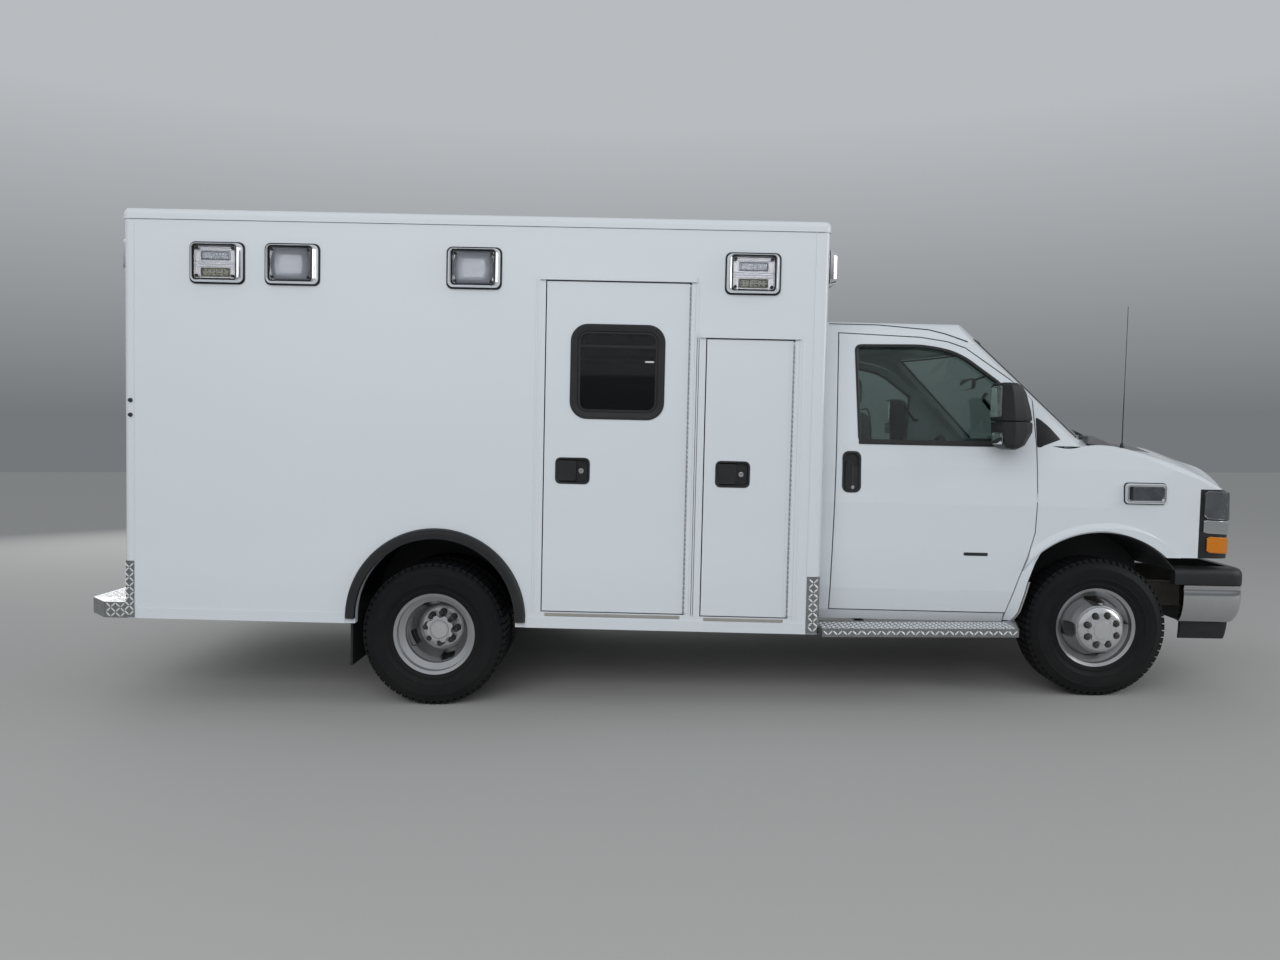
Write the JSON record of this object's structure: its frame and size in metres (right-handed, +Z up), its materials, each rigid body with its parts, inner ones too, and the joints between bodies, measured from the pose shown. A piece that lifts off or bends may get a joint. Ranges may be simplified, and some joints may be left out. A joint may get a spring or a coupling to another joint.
{
  "type": "ambulance",
  "caption": "Box-body ambulance on a cutaway van chassis, with turning wheels, steering, opening cab, entry, rear and compartment doors, and a lifting hood.",
  "frame": {"origin": "middle of the overall box, on the ground under the vehicle", "axes": "+X towards the front of the vehicle, +Y to its left, +Z up"},
  "size_m": [6.2605, 2.504, 2.5698],
  "materials": {
    "body_paint": "gloss white paint",
    "wheel_steel": "silver steel wheel",
    "tyre": "matt black rubber",
    "chassis_steel": "black chassis paint",
    "cast_metal": "bare casting",
    "chrome": "bright chrome",
    "tread_plate": "raised diamond plate",
    "black_plastic": "textured black",
    "black_rubber": "matt black",
    "grey_plastic": "textured grey",
    "interior_vinyl": "woven vinyl",
    "interior_panel": "smooth lining",
    "cab_glass": "green tinted",
    "dark_glass": "dark tinted",
    "lamp_lens": "clear lens"
  },
  "bodies": {
    "vehicle": {"body_lights": "lamp_lens", "bumper_pads": "black_plastic", "cab_floor": "interior_vinyl", "cab_shell": "body_paint", "chassis_frame": "chassis_steel", "compartment_liners": "interior_panel", "corner_guards": "tread_plate", "cowl": "grey_plastic", "dashboard": "grey_plastic", "engine_block": "cast_metal", "exhaust": "cast_metal", "fender_rings": "black_rubber", "front_bumper": "chrome", "front_fenders": "body_paint", "fuel_tank": "chassis_steel", "grille": "chrome", "headlamps": "lamp_lens", "module_floor": "interior_panel", "module_frame": "body_paint", "module_front_wall": "body_paint", "module_left_wall": "body_paint", "module_rear_wall": "body_paint", "module_right_wall": "body_paint", "patient_bench": "interior_panel", "patient_cabinets": "interior_panel", "radiator": "cast_metal", "rear_axle": "cast_metal", "rear_step": "tread_plate", "running_boards": "tread_plate", "seats": "interior_vinyl", "wheelhouses": "black_plastic", "windshield": "cab_glass"},
    "hood": {"hood": "body_paint"},
    "door_entry": {"entry_door": "body_paint", "entry_window": "dark_glass"},
    "door_curb": {"curb_compartment_door": "body_paint"},
    "door_street_front": {"street_front_door": "body_paint"},
    "door_street_middle": {"street_middle_door": "body_paint"},
    "door_street_rear": {"street_rear_door": "body_paint"},
    "door_cab_right": {"cab_door_right": "body_paint", "cab_glass_right": "cab_glass", "mirror_right": "black_plastic"},
    "door_rear_right": {"rear_door_right": "body_paint", "rear_window_right": "dark_glass"},
    "knuckle_right": {"knuckle_right": "cast_metal"},
    "wheel_front_right": {"tyre_front_right": "tyre", "rim_front_right": "wheel_steel"},
    "wheels_rear_right": {"tyres_rear_right": "tyre", "rims_rear_right": "wheel_steel"},
    "door_cab_left": {"cab_door_left": "body_paint", "cab_glass_left": "cab_glass", "mirror_left": "black_plastic"},
    "door_rear_left": {"rear_door_left": "body_paint", "rear_window_left": "dark_glass"},
    "knuckle_left": {"knuckle_left": "cast_metal"},
    "wheel_front_left": {"tyre_front_left": "tyre", "rim_front_left": "wheel_steel"},
    "wheels_rear_left": {"tyres_rear_left": "tyre", "rims_rear_left": "wheel_steel"}
  },
  "joints": [
    {"name": "cab_door_right", "type": "hinge", "parent": "vehicle", "child": "door_cab_right", "pos_m": [1.91821, -1.003, 1.07588], "axis": [0.0223, 0, 0.9998], "range_deg": [0, 70]},
    {"name": "rear_door_right", "type": "hinge", "parent": "vehicle", "child": "door_rear_right", "pos_m": [-2.85944, -0.609, 1.52572], "axis": [0.0223, 0, 0.9998], "range_deg": [0, 110]},
    {"name": "steer_right", "type": "hinge", "parent": "vehicle", "child": "knuckle_right", "pos_m": [2.25905, -0.79, 0.372], "axis": [0, 0, 1], "range_deg": [-34, 34]},
    {"name": "front_wheel_right", "type": "hinge", "parent": "knuckle_right", "child": "wheel_front_right", "pos_m": [2.25905, -0.872, 0.372], "axis": [0, 1, 0], "continuous": true},
    {"name": "rear_wheels_right", "type": "hinge", "parent": "vehicle", "child": "wheels_rear_right", "pos_m": [-1.27195, -0.9475, 0.372], "axis": [0, 1, 0], "continuous": true},
    {"name": "cab_door_left", "type": "hinge", "parent": "vehicle", "child": "door_cab_left", "pos_m": [1.91821, 1.003, 1.07588], "axis": [-0.0223, 0, -0.9998], "range_deg": [0, 70]},
    {"name": "rear_door_left", "type": "hinge", "parent": "vehicle", "child": "door_rear_left", "pos_m": [-2.85944, 0.609, 1.52572], "axis": [-0.0223, 0, -0.9998], "range_deg": [0, 110]},
    {"name": "steer_left", "type": "hinge", "parent": "vehicle", "child": "knuckle_left", "pos_m": [2.25905, 0.79, 0.372], "axis": [0, 0, 1], "range_deg": [-34, 34]},
    {"name": "front_wheel_left", "type": "hinge", "parent": "knuckle_left", "child": "wheel_front_left", "pos_m": [2.25905, 0.872, 0.372], "axis": [0, 1, 0], "continuous": true},
    {"name": "rear_wheels_left", "type": "hinge", "parent": "vehicle", "child": "wheels_rear_left", "pos_m": [-1.27195, 0.9475, 0.372], "axis": [0, 1, 0], "continuous": true},
    {"name": "hood_lid", "type": "hinge", "parent": "vehicle", "child": "hood", "pos_m": [2.6233, 0, 1.3632], "axis": [0, -1, 0], "range_deg": [0, 50]},
    {"name": "entry_door", "type": "hinge", "parent": "vehicle", "child": "door_entry", "pos_m": [0.04393, -1.212, 1.33081], "axis": [0.0223, 0, 0.9998], "range_deg": [0, 95]},
    {"name": "curb_door", "type": "hinge", "parent": "vehicle", "child": "door_curb", "pos_m": [0.57367, -1.212, 1.17894], "axis": [0.0223, 0, 0.9998], "range_deg": [0, 95]},
    {"name": "street_front_door", "type": "hinge", "parent": "vehicle", "child": "door_street_front", "pos_m": [0.57367, 1.212, 1.17894], "axis": [-0.0223, 0, -0.9998], "range_deg": [0, 95]},
    {"name": "street_middle_door", "type": "hinge", "parent": "vehicle", "child": "door_street_middle", "pos_m": [-0.83339, 1.212, 1.46044], "axis": [-0.0223, 0, -0.9998], "range_deg": [0, 95]},
    {"name": "street_rear_door", "type": "hinge", "parent": "vehicle", "child": "door_street_rear", "pos_m": [-1.81873, 1.212, 1.2324], "axis": [-0.0223, 0, -0.9998], "range_deg": [0, 95]}
  ],
  "couplings": [
    {"joint": "steer_right", "follows": "steer_left", "ratio": 1}
  ]
}
